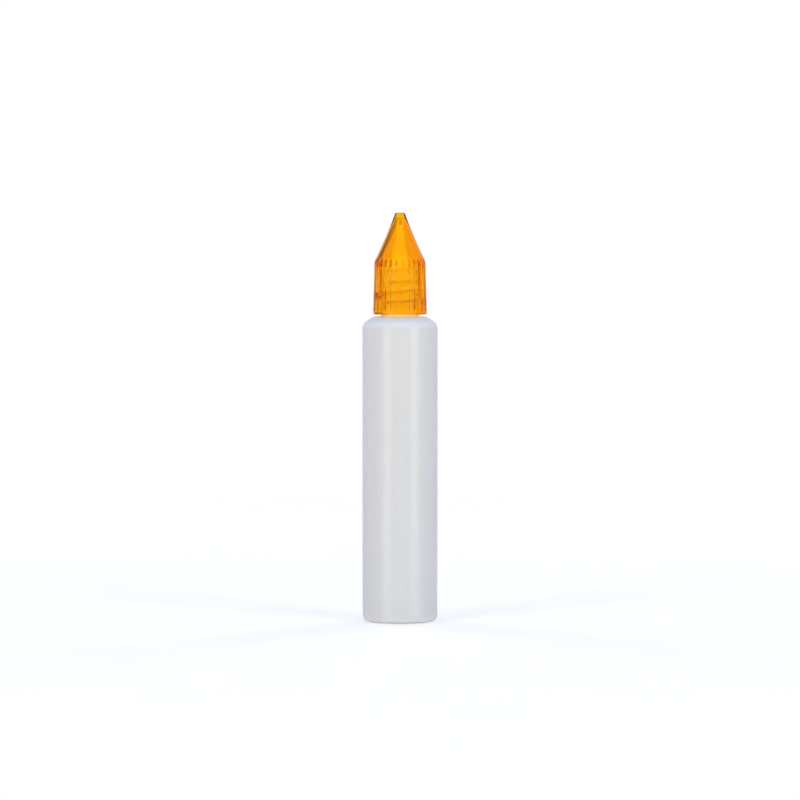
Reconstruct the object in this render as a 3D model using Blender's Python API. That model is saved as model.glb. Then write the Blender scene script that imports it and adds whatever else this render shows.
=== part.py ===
"""Pen-style glue applicator bottle: a squeeze bottle, a press-in dropper nozzle and a screw cap.

Frame: metres, +Z up, front towards -Y, origin at the centre of the base, in the plane
the bottle stands on. The cap turns about +Z on the neck thread and climbs one pitch per turn.
"""

import math

import bmesh
import bpy

MM = 0.001

# ---- bottle body (blow-moulded squeeze bottle) ----
BODY_R = 11.5 * MM  # straight side
STRAIGHT_OUTER_Z = 30.0 * MM  # the straight side starts here, outside
STRAIGHT_INNER_Z = 12.0 * MM  # and here inside
WALL = 0.9 * MM
FOOT_SIDE_R = 11.43 * MM  # the side draws in a little towards the foot
FOOT_CORNER_R = 2.3 * MM  # rounded edge between side and base
FOOT_X = FOOT_SIDE_R - FOOT_CORNER_R  # centre of the rounded edge
BASE_T = 1.0 * MM
REST_RING_IN = 7.9 * MM  # flat ring the bottle stands on, inner radius
REST_BEVEL_W = 0.7 * MM  # bevel from the ring into the hollow
REST_BEVEL_H = 0.3 * MM
PUSH_UP = 0.9 * MM  # hollow under the base
FLOOR_RING_IN = 1.0 * MM  # the floor starts to rise this far inside the rest ring
FLOOR_RING_H = 0.35 * MM
SHOULDER_Z = 93.3 * MM  # flat land round the neck root
SHOULDER_SLOPE = math.radians(31)
SHOULDER_ARC_R = 2.82 * MM
SHOULDER_ARC_Z = 89.68 * MM  # the straight side ends here
SHOULDER_ARC_X = BODY_R - SHOULDER_ARC_R
LAND_STEP = 0.12 * MM  # the land stands this far above the slope's end
LAND_BEVEL_W = 0.3 * MM

# ---- threaded neck ----
NECK_R = 5.7 * MM  # thread root
NECK_ROOT_BEVEL = 0.4 * MM
NECK_BORE_R = 4.6 * MM
BORE_FLARE = 0.6 * MM  # the bore widens by this into the body
BORE_FLARE_FOOT_H = 0.05 * MM  # foot and top of the flare, above the inner land
BORE_FLARE_TOP_H = 0.8 * MM
NECK_TOP_Z = 107.0 * MM
LIP_INNER_BEVEL = 0.3 * MM
LIP_OUTER_BEVEL = 0.4 * MM
PITCH = 3.0 * MM  # single start, right hand
THREAD_ANGLE_REF = math.radians(-48)  # the ridge passes THREAD_Z_REF at this angle
THREAD_Z_REF = 98.9 * MM
RUN_OUT = math.radians(40)  # turn over which each end of a ridge fades
SUNK_SHARE = 0.4  # a ridge's end crest lies this far from root to embedded foot
NECK_THREAD_Z = (97.3 * MM, 105.3 * MM)  # ridge centre, first and last
NECK_THREAD = {
    "embed_r": NECK_R - 0.3 * MM,
    "root_r": NECK_R,
    "crest_r": 6.6 * MM,
    "root_w": 1.5 * MM,
    "crest_w": 0.6 * MM,
}

# ---- dropper nozzle ----
PLUG_R = 4.3 * MM
PLUG_BOTTOM_Z = 99.6 * MM
PLUG_BOTTOM_R = PLUG_R - 0.35 * MM
PLUG_LEAD_IN = (PLUG_R - 0.1 * MM, 100.7 * MM)  # radius, height: below the lower bead
PLUG_BORE_BOTTOM_R = PLUG_R - 0.95 * MM
PLUG_BORE_TOP_R = PLUG_R - 1.0 * MM
PLUG_BORE_TOP_DROP = 0.6 * MM  # below the cone's foot
PLUG_BEAD_R = 4.42 * MM
UPPER_BEAD_Z = 104.4 * MM
LOWER_BEAD_Z = 101.4 * MM
BEAD_HALF_H = 0.5 * MM
FLANGE_R = 5.55 * MM
FLANGE_BEVEL = 0.25 * MM
FLANGE_GAP = 0.3 * MM
FLANGE_T = 1.2 * MM
FLANGE_Z = NECK_TOP_Z + FLANGE_GAP  # underside
CONE_FOOT_R = 4.0 * MM
CONE_FOOT_Z = FLANGE_Z + FLANGE_T
NOZZLE_HOLLOW = 0.10  # how hollow the sides are, as a share of the taper
NOZZLE_WALL = 0.9 * MM
TIP_R = 1.1 * MM
TIP_Z = 121.2 * MM
TIP_BEVEL_W = 0.15 * MM
TIP_BEVEL_H = 0.2 * MM
ORIFICE_R = 0.6 * MM
ORIFICE_MOUTH_R = ORIFICE_R + 0.05 * MM
ORIFICE_FLARE_Z = 119.4 * MM  # the orifice widens from here up to its mouth

# ---- screw cap ----
CAP_RIM_Z = 93.8 * MM
CAP_TOP_Z = 125.1 * MM
CAP_RIM_R = 8.19 * MM
RIM_EDGE_H = 0.35 * MM  # height of the rounded lower edge
RIM_EDGE_MID = (CAP_RIM_R - 0.12 * MM, CAP_RIM_Z + 0.08 * MM)
RIM_FLAT_R = CAP_RIM_R - 0.3 * MM
SKIRT_TOP_R = 7.85 * MM
SKIRT_TOP_Z = 110.0 * MM
SKIRT_EDGE_MID = (7.68 * MM, 110.42 * MM)  # in the rounded edge above the skirt
CONE_EDGE_R = 7.35 * MM  # where the cone leaves the rounded edge
CONE_EDGE_Z = 110.95 * MM
CONE_TOP_R = 1.40 * MM  # the cone's line carried up to CAP_TOP_Z
CONE_HOLLOW = 0.30 * MM
CONE_WALL = 1.3 * MM  # measured level
CAP_TIP_R = 1.25 * MM
CAP_TIP = [  # radius, height: from the axis down to the cone
    (0.0, CAP_TOP_Z),
    (CAP_TIP_R - 0.2 * MM, CAP_TOP_Z),
    (CAP_TIP_R + 0.12 * MM, CAP_TOP_Z - 0.22 * MM),
    (1.72 * MM, CAP_TOP_Z - 0.95 * MM),
]
CAP_BORE_R = 6.9 * MM
BORE_MOUTH_WIDEN = 0.25 * MM
BORE_MOUTH_H = 0.4 * MM
CAP_BORE_TOP_Z = 109.1 * MM
BORE_ROUNDING = [  # radius, height: above the straight bore
    (6.78 * MM, CAP_BORE_TOP_Z + 0.55 * MM),
    (6.48 * MM, CAP_BORE_TOP_Z + 1.15 * MM),
]
CAP_CAVITY_TOP_Z = 123.4 * MM
PIN_R = 0.33 * MM  # seals the nozzle's orifice
PIN_ROOT_WIDEN = 0.1 * MM
PIN_ROOT_H = 0.15 * MM
PIN_POINT_H = 0.2 * MM
PIN_END_Z = 120.5 * MM
CAP_THREAD = {
    "embed_r": CAP_BORE_R + 0.22 * MM,
    "root_r": CAP_BORE_R,
    "crest_r": 6.1 * MM,
    "root_w": 1.3 * MM,
    "crest_w": 0.5 * MM,
}
CAP_THREAD_TURNS = 0.8  # the ridge leaves a gap at the front of the cap
CAP_THREAD_START = math.radians(-45)
FLANK_CLEARANCE = 0.28 * MM
RIBS = 28
GROOVE_DEPTH = 0.30 * MM
GROOVE_W = 0.72 * MM
GROOVE_END_Z = 95.2 * MM  # plain rim band below this
CUTTER_OUT = 0.4 * MM  # the cutter's back stands this far off the skirt
CUTTER_ROWS = [  # height, cutting edge's distance outside the skirt
    (GROOVE_END_Z - 0.5 * MM, 0.15 * MM),
    (GROOVE_END_Z + 0.4 * MM, -GROOVE_DEPTH),
    (SKIRT_TOP_Z + 1.6 * MM, -GROOVE_DEPTH),
]

# ---- facets ----
BOTTLE_STEPS = 64
CAP_STEPS = 2 * RIBS
NOZZLE_STEPS = 48
THREAD_STEPS = 36  # per turn
OUTER_ARC_STEPS = 5
INNER_ARC_STEPS = 4
CONE_STEPS = 6
CAVITY_STEPS = 5
MERGE_DISTANCE = 0.01 * MM
SHARP_ANGLE = math.radians(32)


# ---- scene and mesh tools ----
def clear_scene():
    for obj in list(bpy.data.objects):
        bpy.data.objects.remove(obj, do_unlink=True)


def plastic(name, colour, roughness, transmission=0.0):
    material = bpy.data.materials.new(name)
    material.use_nodes = True
    shader = material.node_tree.nodes["Principled BSDF"]
    shader.inputs["Base Color"].default_value = (*colour, 1.0)
    shader.inputs["Roughness"].default_value = roughness
    shader.inputs["Metallic"].default_value = 0.0
    shader.inputs["Transmission Weight"].default_value = transmission
    return material


def link(name, data):
    obj = bpy.data.objects.new(name, data)
    bpy.context.scene.collection.objects.link(obj)
    return obj


def arc(centre_x, centre_z, radius, start, end, steps):
    """Points (x, z) on an arc, both ends included; angles in degrees."""
    points = []
    for i in range(steps + 1):
        angle = math.radians(start + (end - start) * i / steps)
        points.append((centre_x + radius * math.cos(angle), centre_z + radius * math.sin(angle)))
    return points


def levels(bottom, top, steps):
    """Evenly spaced heights, both ends included."""
    return [bottom + (top - bottom) * i / steps for i in range(steps + 1)]


def lathe(name, profile, steps, closed=False, start=0.0):
    """A turned piece. The profile runs down the outer side and up the inner side."""
    mesh = bpy.data.meshes.new(name)
    count = len(profile)
    edges = [(i, i + 1) for i in range(count - 1)]
    if closed:
        edges.append((count - 1, 0))
    points = [(x * math.cos(start), x * math.sin(start), z) for x, z in profile]
    mesh.from_pydata(points, edges, [])
    obj = link(name, mesh)
    screw = obj.modifiers.new("turn", "SCREW")
    screw.axis = "Z"
    screw.angle = 2 * math.pi
    screw.steps = screw.render_steps = steps
    screw.use_merge_vertices = True
    screw.merge_threshold = MERGE_DISTANCE
    screw.use_smooth_shade = False
    return obj


def boolean_helper(name, bars):
    """A hidden object of capped bars, each a list of rings of points."""
    bm = bmesh.new()
    for bar in bars:
        rings = [[bm.verts.new(point) for point in ring] for ring in bar]
        for one, two in zip(rings, rings[1:]):
            for j in range(len(one)):
                k = (j + 1) % len(one)
                bm.faces.new((one[j], one[k], two[k], two[j]))
        bm.faces.new(rings[0])
        bm.faces.new(list(reversed(rings[-1])))
    bmesh.ops.recalc_face_normals(bm, faces=bm.faces)
    mesh = bpy.data.meshes.new(name)
    bm.to_mesh(mesh)
    bm.free()
    obj = link(name, mesh)
    obj.hide_render = True
    obj.display_type = "WIRE"
    return obj


def boolean(obj, other, operation):
    modifier = obj.modifiers.new(other.name, "BOOLEAN")
    modifier.object = other
    modifier.operation = operation
    modifier.solver = "EXACT"


def settle(obj, material):
    """Applies the modifiers, then sets smooth shading and the material."""
    bpy.context.view_layer.update()
    graph = bpy.context.evaluated_depsgraph_get()
    mesh = bpy.data.meshes.new_from_object(obj.evaluated_get(graph))
    obj.modifiers.clear()
    unturned = obj.data
    obj.data = mesh
    bpy.data.meshes.remove(unturned)
    mesh.name = obj.name
    mesh.materials.clear()
    mesh.materials.append(material)
    mesh.shade_smooth()
    mesh.set_sharp_from_angle(angle=SHARP_ANGLE)


def move_origin(obj, z):
    """Puts the origin on the screw axis at this height, with the shape left where it is."""
    for vertex in obj.data.vertices:
        vertex.co.z -= z
    obj.location.z = z


def hang(child, parent):
    """Parents without moving the child."""
    bpy.context.view_layer.update()
    child.parent = parent
    child.matrix_parent_inverse = parent.matrix_world.inverted()


# ---- threads ----
def ridge_z(angle):
    """Height of the neck thread's centre line at this angle."""
    return THREAD_Z_REF + PITCH * (angle - THREAD_ANGLE_REF) / (2 * math.pi)


def ridge_angle(z):
    return THREAD_ANGLE_REF + 2 * math.pi * (z - THREAD_Z_REF) / PITCH


def ridge_w(thread, radius):
    """Width of a thread's ridge at this radius: full at the root, narrow at the crest."""
    share = (radius - thread["root_r"]) / (thread["crest_r"] - thread["root_r"])
    return thread["root_w"] + (thread["crest_w"] - thread["root_w"]) * share


def thread_ridge(name, thread, z_from, z_to, z_shift=0.0):
    """A trapezoid swept along the helix. Its ends sink into the wall it stands on."""
    embed_r, root_r, crest_r = thread["embed_r"], thread["root_r"], thread["crest_r"]
    start, end = ridge_angle(z_from), ridge_angle(z_to)
    steps = round(THREAD_STEPS * (end - start) / (2 * math.pi))
    sunk_r = root_r + (embed_r - root_r) * SUNK_SHARE
    foot_w = ridge_w(thread, embed_r)
    sections = []
    for i in range(steps + 1):
        angle = start + (end - start) * i / steps
        fade = min(1.0, (angle - start) / RUN_OUT, (end - angle) / RUN_OUT)
        top_r = sunk_r + (crest_r - sunk_r) * math.sin(fade * math.pi / 2)
        top_w = ridge_w(thread, top_r)
        z = ridge_z(angle) + z_shift
        corners = (
            (embed_r, -foot_w / 2),
            (top_r, -top_w / 2),
            (top_r, top_w / 2),
            (embed_r, foot_w / 2),
        )
        sections.append([(r * math.cos(angle), r * math.sin(angle), z + dz) for r, dz in corners])
    return boolean_helper(name, [sections])


def cap_thread_drop():
    """How far the cap's ridge lies below the neck's, bearing on its underside.

    Half of each width at the middle of the overlap, plus the flank clearance.
    """
    middle_r = (NECK_THREAD["crest_r"] + CAP_THREAD["crest_r"]) / 2
    half_widths = (ridge_w(NECK_THREAD, middle_r) + ridge_w(CAP_THREAD, middle_r)) / 2
    return half_widths + FLANK_CLEARANCE


# ---- bottle ----
def shoulder_x(arc_r, z):
    """Radius at height z of the slope that leaves a shoulder arc of this radius."""
    knee_x = SHOULDER_ARC_X + arc_r * math.sin(SHOULDER_SLOPE)
    knee_z = SHOULDER_ARC_Z + arc_r * math.cos(SHOULDER_SLOPE)
    return knee_x - (z - knee_z) / math.tan(SHOULDER_SLOPE)


def bottle_profile():
    arc_end = 90 - math.degrees(SHOULDER_SLOPE)
    inner_arc_r = SHOULDER_ARC_R - WALL
    inner_corner_r = FOOT_CORNER_R - WALL
    slope_end_z = SHOULDER_Z - LAND_STEP
    land_x = shoulder_x(SHOULDER_ARC_R, slope_end_z)
    bevel_z = slope_end_z - LAND_BEVEL_W * math.tan(SHOULDER_SLOPE)
    inner_land_z = SHOULDER_Z - WALL - LAND_STEP
    inside = [
        (0.0, PUSH_UP + BASE_T),
        (REST_RING_IN - FLOOR_RING_IN, BASE_T + FLOOR_RING_H),
        *arc(FOOT_X, BASE_T + inner_corner_r, inner_corner_r, -90, 0, INNER_ARC_STEPS),
        (BODY_R - WALL, STRAIGHT_INNER_Z),
        *arc(SHOULDER_ARC_X, SHOULDER_ARC_Z, inner_arc_r, 0, arc_end, INNER_ARC_STEPS),
        (shoulder_x(inner_arc_r, inner_land_z), inner_land_z),
        (NECK_BORE_R + BORE_FLARE, inner_land_z + BORE_FLARE_FOOT_H),
        (NECK_BORE_R, inner_land_z + BORE_FLARE_TOP_H),
        (NECK_BORE_R, NECK_TOP_Z - LIP_INNER_BEVEL),
    ]
    outside = [
        (NECK_BORE_R + LIP_INNER_BEVEL, NECK_TOP_Z),
        (NECK_R - LIP_OUTER_BEVEL, NECK_TOP_Z),
        (NECK_R, NECK_TOP_Z - LIP_OUTER_BEVEL),
        (NECK_R, SHOULDER_Z + NECK_ROOT_BEVEL),
        (NECK_R + NECK_ROOT_BEVEL, SHOULDER_Z),
        (land_x, SHOULDER_Z),
        (land_x + LAND_BEVEL_W, bevel_z),
        *arc(SHOULDER_ARC_X, SHOULDER_ARC_Z, SHOULDER_ARC_R, arc_end, 0, OUTER_ARC_STEPS),
        (BODY_R, STRAIGHT_OUTER_Z),
        *arc(FOOT_X, FOOT_CORNER_R, FOOT_CORNER_R, 0, -90, OUTER_ARC_STEPS),
        (REST_RING_IN, 0.0),
        (REST_RING_IN - REST_BEVEL_W, REST_BEVEL_H),
        (0.0, PUSH_UP),
    ]
    return inside + outside


def build_bottle():
    bottle = lathe("bottle", bottle_profile(), BOTTLE_STEPS)
    boolean(bottle, thread_ridge("neck_thread_ridge", NECK_THREAD, *NECK_THREAD_Z), "UNION")
    settle(bottle, plastic("milky_squeeze_plastic", (0.80, 0.80, 0.80), roughness=0.42))
    return bottle


# ---- nozzle ----
def nozzle_outer_r(z):
    """The long thin tip: slightly hollow sides between the flange and the tip."""
    t = (z - CONE_FOOT_Z) / (TIP_Z - CONE_FOOT_Z)
    return CONE_FOOT_R + (TIP_R - CONE_FOOT_R) * (t + NOZZLE_HOLLOW * math.sin(math.pi * t))


def nozzle_profile():
    heights = levels(CONE_FOOT_Z, TIP_Z, CONE_STEPS)
    outside = [
        (ORIFICE_MOUTH_R, TIP_Z),
        (TIP_R - TIP_BEVEL_W, TIP_Z),
        (TIP_R, TIP_Z - TIP_BEVEL_H),
        *[(nozzle_outer_r(z), z) for z in reversed(heights[:-1])],
        (FLANGE_R - FLANGE_BEVEL, CONE_FOOT_Z),
        (FLANGE_R, CONE_FOOT_Z - FLANGE_BEVEL),
        (FLANGE_R, FLANGE_Z),
        (PLUG_R, FLANGE_Z),
        (PLUG_R, UPPER_BEAD_Z + BEAD_HALF_H),
        (PLUG_BEAD_R, UPPER_BEAD_Z),
        (PLUG_R, UPPER_BEAD_Z - BEAD_HALF_H),
        (PLUG_R, LOWER_BEAD_Z + BEAD_HALF_H),
        (PLUG_BEAD_R, LOWER_BEAD_Z),
        PLUG_LEAD_IN,
        (PLUG_BOTTOM_R, PLUG_BOTTOM_Z),
    ]
    inside = [
        (PLUG_BORE_BOTTOM_R, PLUG_BOTTOM_Z),
        (PLUG_BORE_TOP_R, CONE_FOOT_Z - PLUG_BORE_TOP_DROP),
        *[(max(nozzle_outer_r(z) - NOZZLE_WALL, ORIFICE_R), z) for z in heights[:-2]],
        (ORIFICE_R, ORIFICE_FLARE_Z),
    ]
    return outside + inside


def build_nozzle():
    nozzle = lathe("nozzle", nozzle_profile(), NOZZLE_STEPS, closed=True)
    settle(nozzle, plastic("natural_nozzle_plastic", (0.86, 0.85, 0.80), roughness=0.38))
    move_origin(nozzle, NECK_TOP_Z)
    return nozzle


# ---- cap ----
def cap_cone_r(z):
    """Outer cone of the cap: slightly hollow sides, from the rounded edge up to the tip."""
    t = (z - CONE_EDGE_Z) / (CAP_TOP_Z - CONE_EDGE_Z)
    return CONE_EDGE_R + (CONE_TOP_R - CONE_EDGE_R) * t - CONE_HOLLOW * math.sin(math.pi * t)


def skirt_r(z):
    t = (z - SKIRT_TOP_Z) / (CAP_RIM_Z - SKIRT_TOP_Z)
    return SKIRT_TOP_R + (CAP_RIM_R - SKIRT_TOP_R) * t


def cap_profile():
    cone_heights = levels(CONE_EDGE_Z, CAP_TOP_Z, CONE_STEPS)
    cavity_heights = levels(CONE_EDGE_Z, CAP_CAVITY_TOP_Z, CAVITY_STEPS)
    rim_edge_z = CAP_RIM_Z + RIM_EDGE_H
    outside = [
        *CAP_TIP,
        *[(cap_cone_r(z), z) for z in reversed(cone_heights[:-1])],
        SKIRT_EDGE_MID,
        (SKIRT_TOP_R, SKIRT_TOP_Z),
        (skirt_r(rim_edge_z), rim_edge_z),
        RIM_EDGE_MID,
        (RIM_FLAT_R, CAP_RIM_Z),
    ]
    inside = [
        (CAP_BORE_R + BORE_MOUTH_WIDEN, CAP_RIM_Z),
        (CAP_BORE_R, CAP_RIM_Z + BORE_MOUTH_H),
        (CAP_BORE_R, CAP_BORE_TOP_Z),
        *BORE_ROUNDING,
        *[(cap_cone_r(z) - CONE_WALL, z) for z in cavity_heights],
        (PIN_R + PIN_ROOT_WIDEN, CAP_CAVITY_TOP_Z),
        (PIN_R, CAP_CAVITY_TOP_Z - PIN_ROOT_H),
        (PIN_R, PIN_END_Z + PIN_POINT_H),
        (0.0, PIN_END_Z),
    ]
    return outside + inside


def groove_cutter():
    """One V-shaped bar for each groove: runs out above the rim and past the skirt's top."""
    half_w = GROOVE_W / 2 * (GROOVE_DEPTH + CUTTER_OUT) / GROOVE_DEPTH
    bars = []
    for rib in range(RIBS):
        angle = 2 * math.pi * (rib + 0.5) / RIBS
        cos, sin = math.cos(angle), math.sin(angle)
        bar = []
        for z, edge_out in CUTTER_ROWS:
            edge_r = skirt_r(z) + edge_out
            back_r = skirt_r(z) + CUTTER_OUT
            corners = ((edge_r, 0.0), (back_r, half_w), (back_r, -half_w))
            bar.append([(r * cos - side * sin, r * sin + side * cos, z) for r, side in corners])
        bars.append(bar)
    return boolean_helper("rib_grooves", bars)


def build_cap():
    # Half a facet of turn puts each groove at the middle of a facet, and a rib in front.
    cap = lathe("cap", cap_profile(), CAP_STEPS, start=math.pi / CAP_STEPS)
    first = ridge_z(CAP_THREAD_START)
    last = first + CAP_THREAD_TURNS * PITCH
    ridge = thread_ridge("cap_thread_ridge", CAP_THREAD, first, last, z_shift=-cap_thread_drop())
    boolean(cap, ridge, "UNION")
    boolean(cap, groove_cutter(), "DIFFERENCE")
    amber = plastic("clear_orange_plastic", (0.95, 0.38, 0.02), roughness=0.08, transmission=0.7)
    settle(cap, amber)
    move_origin(cap, CAP_RIM_Z)
    return cap


def main():
    clear_scene()
    bottle = build_bottle()
    nozzle = build_nozzle()
    cap = build_cap()

    screw_axis = link("cap_screw_axis", None)
    screw_axis.location = (0.0, 0.0, NECK_TOP_Z)
    hang(screw_axis, bottle)
    hang(nozzle, screw_axis)
    hang(cap, screw_axis)


main()
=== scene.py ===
"""Glue applicator bottle: milky squeeze bottle, natural dropper nozzle, clear orange ribbed cap.

It stands upright on z = 0 with its axis on Z. The camera looks along +Y, so left is -X.
Shapes are worked out in millimetres and turned into metres as each mesh is made.
"""

import math

import bpy
import numpy as np
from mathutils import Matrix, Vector


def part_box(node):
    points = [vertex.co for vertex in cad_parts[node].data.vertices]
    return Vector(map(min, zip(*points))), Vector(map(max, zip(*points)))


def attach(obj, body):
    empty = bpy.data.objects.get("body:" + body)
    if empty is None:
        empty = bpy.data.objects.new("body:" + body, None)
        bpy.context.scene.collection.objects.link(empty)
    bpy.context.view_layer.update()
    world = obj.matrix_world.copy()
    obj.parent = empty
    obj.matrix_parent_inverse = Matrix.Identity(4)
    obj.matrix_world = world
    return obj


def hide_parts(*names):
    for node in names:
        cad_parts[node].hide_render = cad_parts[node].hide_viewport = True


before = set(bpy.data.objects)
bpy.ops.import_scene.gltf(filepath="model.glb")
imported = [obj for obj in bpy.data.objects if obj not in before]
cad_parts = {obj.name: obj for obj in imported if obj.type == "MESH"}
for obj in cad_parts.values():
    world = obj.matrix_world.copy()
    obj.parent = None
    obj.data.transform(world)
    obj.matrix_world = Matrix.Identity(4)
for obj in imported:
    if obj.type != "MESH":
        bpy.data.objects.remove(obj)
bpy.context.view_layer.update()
MM = 0.001
TAU = 2 * math.pi

_, BOTTLE_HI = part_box("bottle")
NOZZLE_LO, NOZZLE_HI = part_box("nozzle")
CAP_LO, CAP_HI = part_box("cap")

# Sizes shared between the pieces, in mm
BODY_R = BOTTLE_HI.x / MM
NECK_TOP = BOTTLE_HI.z / MM
RIM_Z = CAP_LO.z / MM + 0.2
CAP_TOP = CAP_HI.z / MM
PLUG_Z = NOZZLE_LO.z / MM
TIP_Z = NOZZLE_HI.z / MM
SHOULDER_Z = CAP_LO.z / MM - 0.5

# The thread: its rise per turn, and a height and angle it passes through
PITCH, THREAD_Z, THREAD_ANGLE = 3.0, 98.9, math.radians(-48)


# ------------------------------------------------------------------ profiles
def rounded(corners, longest, arc_step):
    """Dense (r, z) points through corners given as (r, z, fillet radius)."""
    points = []

    def put(point):
        if not points or math.dist(points[-1], point) > 1e-4:
            points.append((float(point[0]), float(point[1])))

    def line_to(end):
        start = points[-1]
        count = max(1, math.ceil(math.dist(start, end) / longest))
        for i in range(1, count + 1):
            put([s + (e - s) * i / count for s, e in zip(start, end)])

    put(corners[0][:2])
    for previous, here, following in zip(corners, corners[1:], corners[2:]):
        corner, fillet = np.array(here[:2]), here[2]
        back = np.array(previous[:2]) - corner
        ahead = np.array(following[:2]) - corner
        back_length, ahead_length = np.linalg.norm(back), np.linalg.norm(ahead)
        back, ahead = back / back_length, ahead / ahead_length
        turn = math.pi - math.acos(max(-1.0, min(1.0, float(back @ ahead))))
        if fillet <= 0 or turn < 1e-3:
            line_to(corner)
            continue
        # a fillet takes up less than half of either side
        setback = min(fillet * math.tan(turn / 2), 0.48 * back_length, 0.48 * ahead_length)
        fillet = setback / math.tan(turn / 2)
        arc_start, arc_end = corner + back * setback, corner + ahead * setback
        bisector = (back + ahead) / np.linalg.norm(back + ahead)
        centre = corner + bisector * math.hypot(fillet, setback)
        line_to(arc_start)
        count = max(4, math.ceil(fillet * turn / arc_step))
        first = math.atan2(*(arc_start - centre)[::-1])
        last = math.atan2(*(arc_end - centre)[::-1])
        sweep = (last - first + math.pi) % TAU - math.pi
        for i in range(1, count + 1):
            angle = first + sweep * i / count
            put((centre[0] + fillet * math.cos(angle), centre[1] + fillet * math.sin(angle)))
    line_to(corners[-1][:2])
    return np.array(points)


def stations(radius_at, z_first, z_last, count):
    """Unfilleted corners along a curved wall."""
    return [(radius_at(z), z, 0.0) for z in np.linspace(z_first, z_last, count)]


def close_rows(profile, radius, spacing):
    """The profile with close rows along its straight wall at this radius, for a thread."""
    points = []
    for a, b in zip(profile, profile[1:]):
        points.append(a)
        if abs(a[0] - radius) < 1e-3 and abs(b[0] - radius) < 1e-3:
            count = math.ceil(abs(b[1] - a[1]) / spacing)
            points += [a + (b - a) * i / count for i in range(1, count)]
    points.append(profile[-1])
    return np.array(points)


def normals_of(profile):
    """Unit normals in the (r, z) plane, to the right of the direction of travel."""
    along = np.gradient(profile, axis=0)
    along /= np.linalg.norm(along, axis=1)[:, None] + 1e-12
    return np.stack([along[:, 1], -along[:, 0]], 1)


def smooth(x):
    x = np.clip(x, 0, 1)
    return x * x * (3 - 2 * x)


def helix_ridge(theta, z, z_first, z_last, shift, half_root, half_crest, run_out):
    """0 to 1 height of a rounded thread ridge: rows of z against columns of theta."""
    base = THREAD_Z + shift + PITCH * ((theta - THREAD_ANGLE) % TAU) / TAU
    height = np.zeros(np.broadcast(theta, z).shape)
    for turn in range(-3, 6):
        centre = base + PITCH * turn
        ridge = smooth((half_root - np.abs(z - centre)) / (half_root - half_crest))
        fade = smooth((centre - z_first) / run_out) * smooth((z_last - centre) / run_out)
        height = np.maximum(height, ridge * fade)
    return height


def turned(name, piece, r, z, theta, gap=None):
    """Make a CAD piece's surface from rows of r[i, j] and z[i, j] at the angles theta[j].

    Rows run counter-clockwise in (r, z), and the last joins the first. A row on the axis is
    one vertex. No faces are made between row gap and the next.
    """
    rows, cols = r.shape
    x, y = r * np.cos(theta), r * np.sin(theta)
    verts, index, count = [], np.empty((rows, cols), int), 0
    for i in range(rows):
        if r[i].max() < 1e-6:
            verts.append(np.array([[0.0, 0.0, z[i].mean()]]))
            index[i] = count
        else:
            verts.append(np.stack([x[i], y[i], z[i]], 1))
            index[i] = np.arange(count, count + cols)
        count += len(verts[-1])
    faces = []
    for i in range(rows):
        if i == gap:
            continue
        a, b = index[i], index[(i + 1) % rows]
        for j in range(cols):
            k = (j + 1) % cols
            face = [int(a[j]), int(a[k]), int(b[k]), int(b[j])]
            if face[0] == face[1]:
                face = face[1:]
            elif face[2] == face[3]:
                face = face[:3]
            faces.append(face)
    mesh = bpy.data.meshes.new(name)
    mesh.from_pydata((np.concatenate(verts) * MM).tolist(), [], faces)
    mesh.validate()
    mesh.shade_smooth()
    obj = bpy.data.objects.new(name, mesh)
    bpy.context.scene.collection.objects.link(obj)
    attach(obj, piece)
    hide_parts(piece)
    return obj


# ------------------------------------------------------------------ bottle
NECK_R, NECK_CREST_R, BORE_R = 5.7, 6.6, 4.6
INSIDE_R = BODY_R - 0.9
BOTTLE_COLUMNS = 224
SEAM_OFFSETS = (0.22, 0.45, 0.75, 1.1)  # extra columns each side of a seam, in degrees
SEAM_HEIGHT, SEAM_WIDTH = 0.045, 0.11
BEAD_HEIGHT, BEAD_WIDTH, BEAD_REACH = 0.16, 0.28, 5.4
BODY_SINK = 0.02  # the body lies this far inside its profile

# (r, z, fillet radius): base, outside, neck and mouth, then down the inside
BOTTLE_CORNERS = [
    (0, 0.9, 0), (5.2, 0.72, 3.0), (7.35, 0.28, 1.0), (7.75, 0.0, 0.45), (11.43, 0.0, 2.3),
    (BODY_R, 30.0, 0), (BODY_R, 91.276, 2.82), (8.08, SHOULDER_Z, 0.9),
    (NECK_R, SHOULDER_Z, 0.45), (NECK_R, NECK_TOP, 0.32), (BORE_R, NECK_TOP, 0.28),
    (BORE_R, SHOULDER_Z - 1.0, 1.0), (8.35, SHOULDER_Z - 1.05, 1.2), (INSIDE_R, 90.83, 1.92),
    (INSIDE_R, 1.02, 1.7), (7.2, 1.3, 1.5), (0, 1.9, 0),
]


def bottle_angles():
    """Even columns, with closer ones where the two mould halves met."""
    theta = [TAU * j / BOTTLE_COLUMNS for j in range(BOTTLE_COLUMNS)]
    for seam in (0.0, math.pi):
        for offset in SEAM_OFFSETS:
            theta += [seam + math.radians(offset), seam - math.radians(offset)]
    return np.array(sorted({round(t % TAU, 9) for t in theta}))


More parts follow.
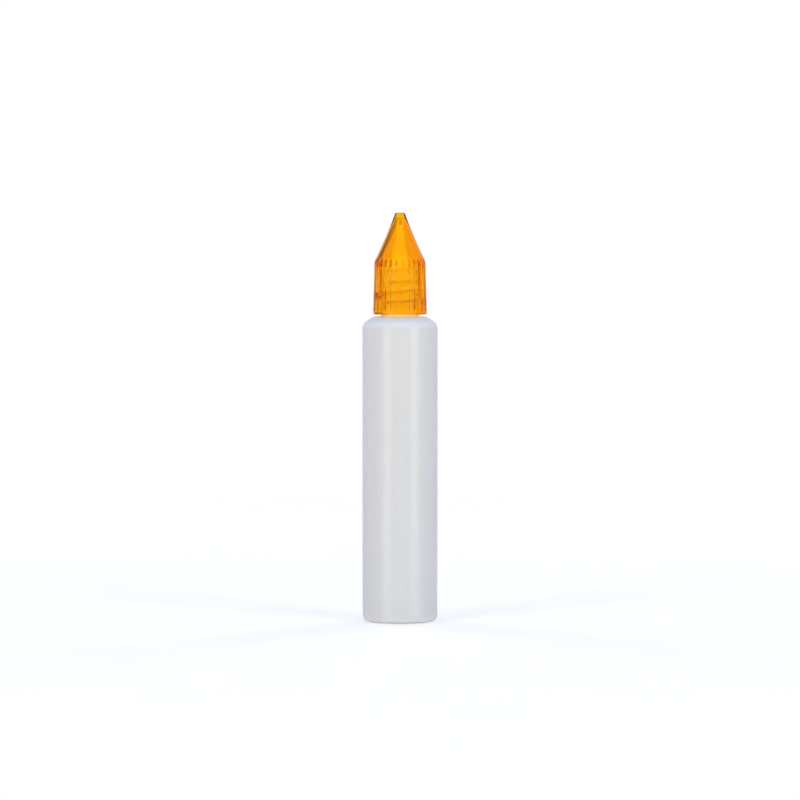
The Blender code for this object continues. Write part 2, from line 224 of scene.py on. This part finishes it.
def build_bottle():
    profile = rounded(BOTTLE_CORNERS, longest=1.2, arc_step=0.18)
    profile = close_rows(profile, NECK_R, spacing=0.125)
    normal = normals_of(profile)
    theta = bottle_angles()
    r0, z0 = profile[:, :1], profile[:, 1:]
    top = int(np.argmax(profile[:, 1]))
    outside = (np.arange(len(profile)) <= top)[:, None].astype(float)
    # mould seam: a fine raised line up both sides, over the shoulder and round the foot
    across = np.abs(np.sin(theta))[None, :] * np.maximum(r0, 0.5)
    seam = SEAM_HEIGHT * np.exp(-((across / SEAM_WIDTH) ** 2)) * outside * smooth((r0 - 2.0) / 4)
    # soft wall: it is a few hundredths of a millimetre out of round and out of true
    body = outside * smooth((r0 - 7.6) / 1.5)
    wave = 0.016 * np.sin(2 * theta + 0.7 + z0 * 0.03)
    wave = wave + 0.004 * np.sin(3 * theta - 1.3 - z0 * 0.05)
    shift = seam + wave * body * smooth(z0 / 6) - BODY_SINK * body
    # pinch-off bead across the hollow base, where the tube of plastic was nipped shut
    under = outside * smooth((6.6 - r0) / 1.2) * (z0 < 1.0)
    along = np.abs(np.cos(theta))[None, :] * r0
    width = np.abs(np.sin(theta))[None, :] * r0
    bead = BEAD_HEIGHT * np.exp(-((width / BEAD_WIDTH) ** 2))
    bead = bead * smooth((BEAD_REACH - along) / 0.8) * under
    r = r0 + normal[:, :1] * shift
    z = np.maximum(z0 + normal[:, 1:] * shift - bead, 0.0)
    ridge = helix_ridge(
        theta[None, :], z0, z_first=97.3, z_last=105.3, shift=0.0,
        half_root=0.98, half_crest=0.16, run_out=0.55,
    )
    ridge = ridge * outside * (np.abs(r0 - NECK_R) < 0.02) * smooth(z0 - SHOULDER_Z - 1)
    r = r + (NECK_CREST_R - NECK_R) * ridge
    r[0], r[-1] = 0.0, 0.0  # both ends are on the axis
    return turned("bottle_shell", "bottle", r, z, theta, gap=len(r) - 1)


# ------------------------------------------------------------------ nozzle
FLANGE_Z, FLANGE_TOP = NECK_TOP + 0.03, NECK_TOP + 1.5
FLANGE_R = 5.58
PLUG_R, PLUG_BEAD_R, PLUG_BORE_R = 4.3, 4.42, 3.35
SPOUT_FOOT_R, SPOUT_TIP_R, SPOUT_BULGE = 4.0, 1.1, 0.10
SPOUT_WALL, HOLE_R = 0.9, 0.6
NOZZLE_COLUMNS = 144

# (r, z, fillet radius): up the outside of the ringed plug and round the flange
PLUG_CORNERS = [
    (PLUG_BORE_R, PLUG_Z, 0.0), (3.95, PLUG_Z, 0.2), (4.2, 100.7, 0.4),
    (PLUG_BEAD_R, 101.4, 0.3), (PLUG_R, 101.95, 0.4), (PLUG_R, 103.9, 0.4),
    (PLUG_BEAD_R, 104.4, 0.3), (PLUG_R, 104.95, 0.4), (PLUG_R, FLANGE_Z, 0.12),
    (FLANGE_R, FLANGE_Z, 0.10), (FLANGE_R, FLANGE_TOP, 0.30), (4.08, FLANGE_TOP, 0.35),
]


def spout_r(z):
    t = (z - FLANGE_TOP) / (TIP_Z - FLANGE_TOP)
    return SPOUT_FOOT_R + (SPOUT_TIP_R - SPOUT_FOOT_R) * (t + SPOUT_BULGE * np.sin(np.pi * t))


def spout_bore_r(z):
    return max(spout_r(z) - SPOUT_WALL, HOLE_R)


def build_nozzle():
    corners = PLUG_CORNERS + stations(spout_r, FLANGE_TOP + 0.55, TIP_Z - 0.5, 14)
    corners += [(SPOUT_TIP_R, TIP_Z, 0.28), (HOLE_R, TIP_Z, 0.12), (HOLE_R, 119.4, 0.6)]
    corners += stations(spout_bore_r, 118.2, FLANGE_TOP + 0.6, 12)
    corners += [(3.32, 107.9, 0.6), (PLUG_BORE_R, PLUG_Z + 0.2, 0.0), PLUG_CORNERS[0]]
    # the outline ends where it began, so its last point is left out
    profile = rounded(corners, longest=0.35, arc_step=0.07)[:-1]
    theta = np.arange(NOZZLE_COLUMNS) * TAU / NOZZLE_COLUMNS
    r = np.repeat(profile[:, :1], NOZZLE_COLUMNS, 1)
    z = np.repeat(profile[:, 1:], NOZZLE_COLUMNS, 1)
    return turned("nozzle_tip", "nozzle", r, z, theta)


# ------------------------------------------------------------------ cap
CAP_BORE_R, CAP_CREST_R = 6.9, 6.1
RIM_R = 7.15
CONE_FOOT_Z, CONE_FOOT_R, CONE_TIP_R, CONE_HOLLOW = 110.95, 7.449, 1.42, 0.22
CONE_WALL = 1.28
PIN_R = 0.33  # the pin inside the tip
RIBS = 28
GROOVE_DEPTH, GROOVE_WIDTH, RIB_CROWN = 0.28, 0.25, 0.05
GROOVE_R = 8.0  # radius at which a groove's width is measured
GROOVE_OFFSETS = np.radians([0, 0.75, 1.5, 2.3, 3.3, 4.7])  # columns crowd round each groove


def cone_r(z):
    t = (z - CONE_FOOT_Z) / (CAP_TOP - CONE_FOOT_Z)
    return CONE_FOOT_R + (CONE_TIP_R - CONE_FOOT_R) * t - CONE_HOLLOW * np.sin(np.pi * t)


def cavity_r(z):
    return cone_r(z) - CONE_WALL


def cap_profiles():
    """The outside from rim to tip, and the hollow from its pin down to the rim."""
    outer = [(RIM_R, RIM_Z, 0.0), (8.22, RIM_Z, 0.5), (7.80, 110.19, 3.0)]
    outer += [(cone_r(111.9), 111.9, 0.0)] + stations(cone_r, 112.6, CAP_TOP - 0.9, 16)
    outer += [
        (1.45, CAP_TOP, 0.50), (0.45, CAP_TOP, 0.25), (0.30, CAP_TOP - 0.10, 0.2),
        (0, CAP_TOP - 0.12, 0),
    ]
    inner = [
        (0, 120.5, 0), (PIN_R, 120.62, 0.12), (PIN_R, 123.2, 0.12), (0.42, 123.4, 0.08),
        (0.76, 123.4, 0.15),
    ]
    inner += stations(cavity_r, 122.9, 111.7, 16)
    inner += [
        (6.62, 109.95, 2.2), (CAP_BORE_R, 108.9, 3.0), (CAP_BORE_R, RIM_Z + 0.45, 0.4),
        (RIM_R, RIM_Z, 0.0),
    ]
    outer = rounded(outer, longest=0.55, arc_step=0.12)
    inner = rounded(inner, longest=0.60, arc_step=0.12)
    return outer, close_rows(inner, CAP_BORE_R, spacing=0.15)


def build_cap():
    outer, inner = cap_profiles()
    period = TAU / RIBS
    theta = []
    for rib in range(RIBS):
        groove = (rib + 0.5) * period
        theta += [groove + offset for offset in GROOVE_OFFSETS]
        theta += [groove - offset for offset in GROOVE_OFFSETS[1:]]
        theta.append(groove + period / 2)
    theta = np.array(sorted(round(t % TAU, 9) for t in theta))
    normal = normals_of(outer)
    r0, z0 = outer[:, :1], outer[:, 1:]
    across = (theta / period) % 1.0 - 0.5  # 0 at a groove
    arc = np.abs(across) * period * GROOVE_R
    groove = np.exp(-((arc / GROOVE_WIDTH) ** 2)) * GROOVE_DEPTH
    # each rib is a little crowned
    crown = RIB_CROWN * (1 - np.cos(TAU * across)) / 2 - RIB_CROWN
    ribbed = smooth((z0 - 95.0) / 0.55) * smooth((111.15 - z0) / 0.9)
    cut = (groove - crown)[None, :] * ribbed
    r_outer = r0 - normal[:, :1] * cut
    z_outer = z0 - normal[:, 1:] * cut
    r1, z1 = inner[:, :1], inner[:, 1:]
    ridge = helix_ridge(
        theta[None, :], z1, z_first=97.845, z_last=100.245, shift=-1.08,
        half_root=0.95, half_crest=0.10, run_out=0.80,
    )
    ridge = ridge * (np.abs(r1 - CAP_BORE_R) < 0.02)
    r_inner = r1 - (CAP_BORE_R - CAP_CREST_R) * ridge
    z_inner = np.repeat(z1, len(theta), 1)
    # the hollow's last row is the rim, which the outside already has
    r = np.concatenate([r_outer, r_inner[:-1]])
    z = np.concatenate([z_outer, z_inner[:-1]])
    return turned("cap_shell", "cap", r, z, theta, gap=len(outer) - 1)


# ------------------------------------------------------------------ node trees
class Nodes:
    """A short hand for building the node tree of a material or world."""

    def __init__(self, owner):
        owner.use_nodes = True
        self.tree = owner.node_tree
        self.tree.nodes.clear()

    def add(self, kind, inputs=None, **settings):
        """A node whose inputs, by name or number, are values or sockets to link from."""
        node = self.tree.nodes.new(kind)
        for key, value in settings.items():
            setattr(node, key, value)
        for key, value in (inputs or {}).items():
            socket = node.inputs[key]
            if isinstance(value, bpy.types.NodeSocket):
                self.tree.links.new(value, socket)
            else:
                socket.default_value = (*value, 1.0) if socket.type == "RGBA" else value
        return node

    def axes(self, vector):
        return self.add("ShaderNodeSeparateXYZ", {0: vector}).outputs

    def height(self):
        """Height in the object's own space, in metres."""
        return self.axes(self.add("ShaderNodeTexCoord").outputs["Object"])["Z"]

    def noise(self, scale, detail=3.0, roughness=0.55, stretch=(1, 1, 1)):
        place = self.add("ShaderNodeTexCoord").outputs["Object"]
        scales = tuple(scale * s for s in stretch)
        mapping = self.add("ShaderNodeMapping", {"Vector": place, "Scale": scales})
        return self.add("ShaderNodeTexNoise", {
            "Vector": mapping.outputs["Vector"],
            "Scale": 1.0,
            "Detail": detail,
            "Roughness": roughness,
        }).outputs["Fac"]

    def remap(self, value, span, to=(0, 1), curve="LINEAR"):
        return self.add("ShaderNodeMapRange", {
            "Value": value,
            "From Min": span[0],
            "From Max": span[1],
            "To Min": to[0],
            "To Max": to[1],
        }, interpolation_type=curve).outputs["Result"]

    def ease(self, value, span, to=(0, 1)):
        return self.remap(value, span, to, curve="SMOOTHSTEP")

    def math(self, operation, a, b=0):
        return self.add("ShaderNodeMath", {0: a, 1: b}, operation=operation).outputs[0]

    def times(self, a, b):
        return self.math("MULTIPLY", a, b)

    def mix(self, factor, a, b):
        return self.add("ShaderNodeMix", {0: factor, 6: a, 7: b}, data_type="RGBA").outputs[2]

    def bump(self, height, strength, distance, before=None):
        inputs = {"Height": height, "Strength": strength, "Distance": distance}
        if before is not None:
            inputs["Normal"] = before
        return self.add("ShaderNodeBump", inputs).outputs["Normal"]

    def emission(self, strength):
        inputs = {"Color": (1, 1, 1), "Strength": strength}
        return self.add("ShaderNodeEmission", inputs).outputs[0]

    def background(self, strength, colour=(1, 1, 1)):
        inputs = {"Color": colour, "Strength": strength}
        return self.add("ShaderNodeBackground", inputs).outputs[0]

    def both(self, a, b):
        return self.add("ShaderNodeAddShader", {0: a, 1: b}).outputs[0]

    def switch(self, factor, off, on):
        return self.add("ShaderNodeMixShader", {0: factor, 1: off, 2: on}).outputs[0]


# ------------------------------------------------------------------ materials
NOISE_SPAN = (0.3, 0.7)  # the part of a noise's range that is spread over an effect


def new_material(name):
    mat = bpy.data.materials.new(name)
    return mat, Nodes(mat)


def polyethylene(n, colour, roughness, normal, radius, scale):
    """Finish a material as polyethylene: radius is how far each colour scatters, per scale."""
    shader = n.add("ShaderNodeBsdfPrincipled", {
        "Base Color": colour,
        "Roughness": roughness,
        "Normal": normal,
        "IOR": 1.51,
        "Subsurface Weight": 0.6,
        "Subsurface Radius": radius,
        "Subsurface Scale": scale,
    })
    n.add("ShaderNodeOutputMaterial", {"Surface": shader.outputs[0]})


def milky_plastic():
    """Natural low-density polyethylene, blow-moulded: milky, satin, faint lines down its length."""
    mat, n = new_material("milky_polyethylene")
    mottle = n.noise(scale=110, detail=4, roughness=0.6, stretch=(1, 1, 0.45))
    lines = n.noise(scale=1500, detail=2, roughness=0.5, stretch=(1, 1, 0.012))
    grain = n.noise(scale=5200, detail=2, roughness=0.6)
    peel = n.noise(scale=900, detail=3, roughness=0.5)
    colour = n.mix(n.remap(mottle, NOISE_SPAN), (0.696, 0.691, 0.677), (0.706, 0.700, 0.683))
    lined = n.remap(lines, span=(0.35, 0.65), to=(0, 0.25))
    colour = n.mix(lined, colour, (0.727, 0.722, 0.712))
    # painted shade: darker and cooler towards the foot, where less light falls from above; partly
    # also the thicker wall there
    height = n.height()
    low = n.times(n.remap(height, span=(0.0, 0.075), to=(1, 0)), 0.70)
    colour = n.mix(low, colour, (0.690, 0.694, 0.712))
    # painted shade: darker and violet towards the outline, on upright walls only, standing for the
    # darker surroundings mirrored there at a grazing angle
    facing = n.add("ShaderNodeLayerWeight", {"Blend": 0.5}).outputs["Facing"]
    slant = n.axes(n.add("ShaderNodeNewGeometry").outputs["Normal"])["Z"]
    upright = n.remap(n.math("ABSOLUTE", slant), span=(0.1, 0.7), to=(1, 0))
    edge = n.times(n.remap(facing, span=(0.14, 0.86)), upright)
    colour = n.mix(edge, colour, (0.655, 0.640, 0.725))
    # painted light: the shoulder's upward face is made lighter and bluer, standing for the sky
    # light it catches
    painted_shoulder_light = n.remap(height, span=(0.0900, 0.0918), to=(0, 0.85))
    colour = n.mix(painted_shoulder_light, colour, (0.765, 0.815, 0.925))
    # painted light: the neck's root, in the gap under the cap's rim, is made whiter and bluer,
    # standing for light that reaches in there
    neck = n.remap(height, span=(0.0934, 0.0944))
    colour = n.mix(neck, colour, (0.93, 0.95, 1.0))
    # the neck's thread zone is whiter than the body; there its wall is thicker and backed by the
    # plug
    thread = n.remap(height, span=(0.0944, 0.0962))
    colour = n.mix(thread, colour, (0.86, 0.85, 0.825))
    rough = n.math(
        "ADD",
        n.remap(mottle, NOISE_SPAN, to=(0.182, 0.198)),
        n.remap(grain, NOISE_SPAN, to=(-0.01, 0.01)),
    )
    normal = n.bump(peel, strength=0.02, distance=0.00003)
    normal = n.bump(lines, strength=0.04, distance=0.00003, before=normal)
    normal = n.bump(grain, strength=0.015, distance=0.00002, before=normal)
    polyethylene(n, colour, rough, normal, radius=(1.0, 0.95, 0.88), scale=0.0012)
    return mat


def nozzle_plastic():
    mat, n = new_material("natural_polyethylene")
    mottle = n.noise(scale=500)
    grain = n.noise(scale=6000, detail=2)
    colour = n.mix(n.remap(mottle, NOISE_SPAN), (0.80, 0.79, 0.755), (0.85, 0.84, 0.81))
    rough = n.remap(mottle, NOISE_SPAN, to=(0.28, 0.40))
    normal = n.bump(grain, strength=0.15, distance=0.00002)
    polyethylene(n, colour, rough, normal, radius=(1.0, 0.95, 0.85), scale=0.0010)
    return mat


def clear_orange():
    """Clear orange styrene: colour by depth, glossy, faint flow marks and handling scratches."""
    mat, n = new_material("clear_orange_styrene")
    flow = n.noise(scale=260, detail=2, roughness=0.5, stretch=(1, 1, 0.3))
    smear = n.noise(scale=330, detail=4, roughness=0.65)
    scratch = n.noise(scale=2600, detail=1, roughness=0.4, stretch=(1, 1, 0.06))
    rough = n.remap(smear, span=(0.45, 0.75), to=(0.035, 0.10))
    normal = n.bump(flow, strength=0.20, distance=0.00012)
    normal = n.bump(scratch, strength=0.06, distance=0.00002, before=normal)
    # the tip is solid, so most of its colour comes from depth: its surface is paler
    solid = n.remap(n.height(), span=(0.1200, 0.1235))
    shader = n.add("ShaderNodeBsdfPrincipled", {
        "Base Color": n.mix(solid, (1.0, 0.715, 0.09), (1.0, 0.92, 0.38)),
        "Roughness": rough,
        "Normal": normal,
        "IOR": 1.58,
        "Transmission Weight": 1.0,
        "Specular Tint": (1.0, 0.64, 0.24),
    })
    depth = n.add("ShaderNodeVolumeAbsorption", {"Color": (0.988, 0.88, 0.0), "Density": 1500.0})
    n.add("ShaderNodeOutputMaterial", {"Surface": shader.outputs[0], "Volume": depth.outputs[0]})
    return mat


def floor_material():
    """Plain pale board. Far from the bottle it fades into white, so there is no horizon."""
    mat, n = new_material("pale_floor")
    speck = n.noise(scale=40)
    board = n.add("ShaderNodeBsdfPrincipled", {
        "Base Color": n.mix(n.remap(speck, NOISE_SPAN), (0.90, 0.90, 0.905), (0.93, 0.93, 0.93)),
        "Roughness": 0.8,
        "Specular IOR Level": 0.2,
    })
    near = n.both(board.outputs[0], n.emission(FLOOR_GLOW))
    white = n.emission(1.0)
    place = n.add("ShaderNodeTexCoord").outputs["Object"]
    away = n.add("ShaderNodeVectorMath", {0: place}, operation="LENGTH").outputs["Value"]
    fade = n.ease(away, span=(0.05, 0.70))  # metres from the bottle's axis
    n.add("ShaderNodeOutputMaterial", {"Surface": n.switch(fade, near, white)})
    return mat


# ------------------------------------------------------------------ surround
WORLD = 0.33  # the surround as light
HORIZON = 0.75  # its brighter low band
MIRRORED = 0.30  # the surround as mirrored
BEHIND = 1.05  # as seen through the cap
INSIDE = 3.3  # as it lights the cap's inside
CARD_LEFT = 0.28  # what the dark card on the left leaves of it
STRIP_SEEN = 1.85  # the strips as mirrored
EDGE_SEEN = 0.45  # the backdrop as mirrored
WARM, COOL = (1.0, 0.98, 0.95), (0.95, 0.97, 1.0)


def sky(n, up, level, horizon, zenith, start, end):
    """Light graded from horizon to zenith between two values of up (0.5 is the horizon)."""
    ramp = n.add("ShaderNodeValToRGB", {"Fac": up})
    for element, place, colour in zip(ramp.color_ramp.elements, (start, end), (horizon, zenith)):
        element.position = place
        element.color = (*colour, 1)
    return n.background(level, ramp.outputs[0])


def backdrop(n, view):
    """What the clear cap shows. Rays it bends away from the backdrop meet warmer sides, with a
    dark card on the left, which is what draws the cap's edges."""
    card = n.times(n.ease(view["X"], span=(-0.24, -0.50)), n.ease(view["Z"], span=(0.40, 0.62)))
    left = n.ease(card, span=(0.0, 1.0), to=(1.0, CARD_LEFT))
    toward = n.ease(view["Z"], span=(-0.1, 0.6), to=(0.75, 1.0))
    level = n.times(BEHIND, n.times(toward, left))
    tint = n.mix(n.ease(view["Z"], span=(0.985, 0.85)), (1, 1, 1), (1.0, 0.72, 0.50))
    return n.background(level, tint)


def add_mirrored_strips(n, mirrored, view, z):
    """Add the strips to the mirrored surround, as soft bright bands on the camera's side."""
    flat_length = n.math("SQRT", n.math("SUBTRACT", 1.0001, n.times(z, z)))
    across = n.math("DIVIDE", view["X"], flat_length)
    front = n.ease(view["Z"], span=(0.0, -0.15))
    tall = n.times(n.ease(z, span=(-0.80, -0.65)), n.ease(z, span=(0.62, 0.50)))
    tall = n.times(tall, n.ease(z, span=(-0.13, 0.0), to=(0.60, 1.0)))  # dimmer near the table
    soft = 0.03  # half the width of a band's faded edge
    for first, last, colour in ((-0.79, -0.47, WARM), (0.545, 0.84, COOL)):
        band = n.times(
            n.ease(across, span=(first - soft, first + soft)),
            n.ease(across, span=(last + soft, last - soft)),
        )
        band = n.times(n.times(band, n.times(front, tall)), STRIP_SEEN)
        mirrored = n.both(mirrored, n.background(band, colour))
    return mirrored


def build_world():
    """White where it is seen, directly or through the clear cap, and darker near the horizon
    where it is only mirrored, as black cards beside the set would make it. The bottle is turned
    before a fixed set, so backdrop, card and mirrored strips follow the camera."""
    world = bpy.data.worlds.new("studio_white")
    bpy.context.scene.world = world
    n = Nodes(world)
    seen = n.background(1.0)
    coords = n.add("ShaderNodeTexCoord").outputs
    z = n.axes(coords["Generated"])["Z"]
    up = n.remap(z, span=(-1, 1))
    rays = n.add("ShaderNodeLightPath").outputs
    soft = sky(
        n, up, WORLD, horizon=(0.92, 0.92, 0.92), zenith=(0.68, 0.73, 0.85), start=0.50, end=0.90
    )
    mirrored = sky(
        n, up, MIRRORED, horizon=(0.50, 0.50, 0.50), zenith=(1.0, 1.0, 1.0), start=0.52, end=0.75
    )
    view = n.axes(coords["Camera"])  # Z points away from the camera
    behind = backdrop(n, view)
    # light that reaches the neck and nozzle through the cap comes mostly from the camera's side
    level = n.ease(view["Z"], span=(0.5, -0.7), to=(0.20 * INSIDE, 1.35 * INSIDE))
    inside = n.background(level, (0.96, 1.06, 0.90))
    # a brighter band low on the horizon, which reaches in under the cap's rim
    low = n.times(n.ease(z, span=(0.13, 0.07), to=(0.0, HORIZON)), 1.0)
    soft = n.both(soft, n.background(low))
    mirrored = add_mirrored_strips(n, mirrored, view, z)
    # the backdrop again, mirrored at a grazing angle along the outline
    edge = n.ease(view["Z"], span=(0.70, 0.97), to=(0.0, EDGE_SEEN))
    mirrored = n.both(mirrored, n.background(edge))
    shader = n.switch(rays["Is Glossy Ray"], soft, mirrored)
    clear = n.switch(rays["Diffuse Depth"], behind, inside)
    shader = n.switch(rays["Is Transmission Ray"], shader, clear)
    shader = n.switch(rays["Is Camera Ray"], shader, seen)
    n.add("ShaderNodeOutputWorld", {"Surface": shader})


# ------------------------------------------------------------------ studio
FLOOR_GLOW = 0.20
OVERHEAD = 5.0  # watts
STRIP_DISTANCE = 0.8

# name, degrees round from the camera's side towards the right, watts, colour
STRIPS = (
    ("strip_left", -40, 2.05, WARM),
    ("strip_right", 45, 2.05, COOL),
    ("strip_back_left", -138, 2.05, COOL),
    ("strip_back_right", 141, 2.05, WARM),
)


def aim(obj, target):
    direction = Vector(target) - obj.location
    obj.rotation_euler = direction.to_track_quat("-Z", "Y").to_euler()


def softbox(name, place, target, width, height, power, colour):
    """An area light that lights the set but is not seen, mirrored or seen through the cap."""
    light = bpy.data.lights.new(name, "AREA")
    light.shape = "RECTANGLE"
    light.size, light.size_y = width, height
    light.energy = power
    light.color = colour
    obj = bpy.data.objects.new(name, light)
    bpy.context.scene.collection.objects.link(obj)
    obj.location = place
    aim(obj, target)
    obj.visible_camera = False
    obj.visible_transmission = False
    obj.visible_glossy = False


def build_lights():
    for name, degrees, power, colour in STRIPS:
        angle = math.radians(degrees)
        x, y = STRIP_DISTANCE * math.sin(angle), -STRIP_DISTANCE * math.cos(angle)
        softbox(
            name, place=(x, y, 0.30), target=(0, 0, 0.10),
            width=0.34, height=0.62, power=power, colour=colour,
        )
    softbox(
        "overhead", place=(0, -0.05, 1.1), target=(0, 0, 0.065),
        width=1.0, height=1.0, power=OVERHEAD, colour=(0.86, 0.92, 1.0),
    )


def build_floor():
    mesh = bpy.data.meshes.new("studio_floor")
    mesh.from_pydata([(-4, -4, 0), (4, -4, 0), (4, 4, 0), (-4, 4, 0)], [], [(0, 1, 2, 3)])
    floor = bpy.data.objects.new("studio_floor", mesh)
    bpy.context.scene.collection.objects.link(floor)
    floor.location.z = -0.00005  # just clear of the bottle's foot
    # the strips reach below the table's edge, so they are mirrored to the foot
    floor.visible_glossy = False
    mesh.materials.append(floor_material())


def build_camera():
    camera = bpy.data.cameras.new("camera")
    camera.sensor_width = 36
    camera.lens = 176.4
    camera.clip_start, camera.clip_end = 0.05, 20
    obj = bpy.data.objects.new("camera", camera)
    bpy.context.scene.collection.objects.link(obj)
    obj.location = (0, -1.2, 0.115)
    aim(obj, (0, 0, 0.0678))
    bpy.context.scene.camera = obj


def set_render():
    scene = bpy.context.scene
    scene.view_settings.view_transform = "Standard"
    scene.view_settings.look = "None"
    scene.cycles.use_denoising = True
    # enough bounces to pass through the clear cap's many walls
    scene.cycles.max_bounces = 32
    scene.cycles.transmission_bounces = 24
    scene.cycles.glossy_bounces = 24
    scene.cycles.diffuse_bounces = 6


bottle = build_bottle()
nozzle = build_nozzle()
cap = build_cap()
bottle.data.materials.append(milky_plastic())
nozzle.data.materials.append(nozzle_plastic())
cap.data.materials.append(clear_orange())
build_world()
build_lights()
build_floor()
build_camera()
set_render()
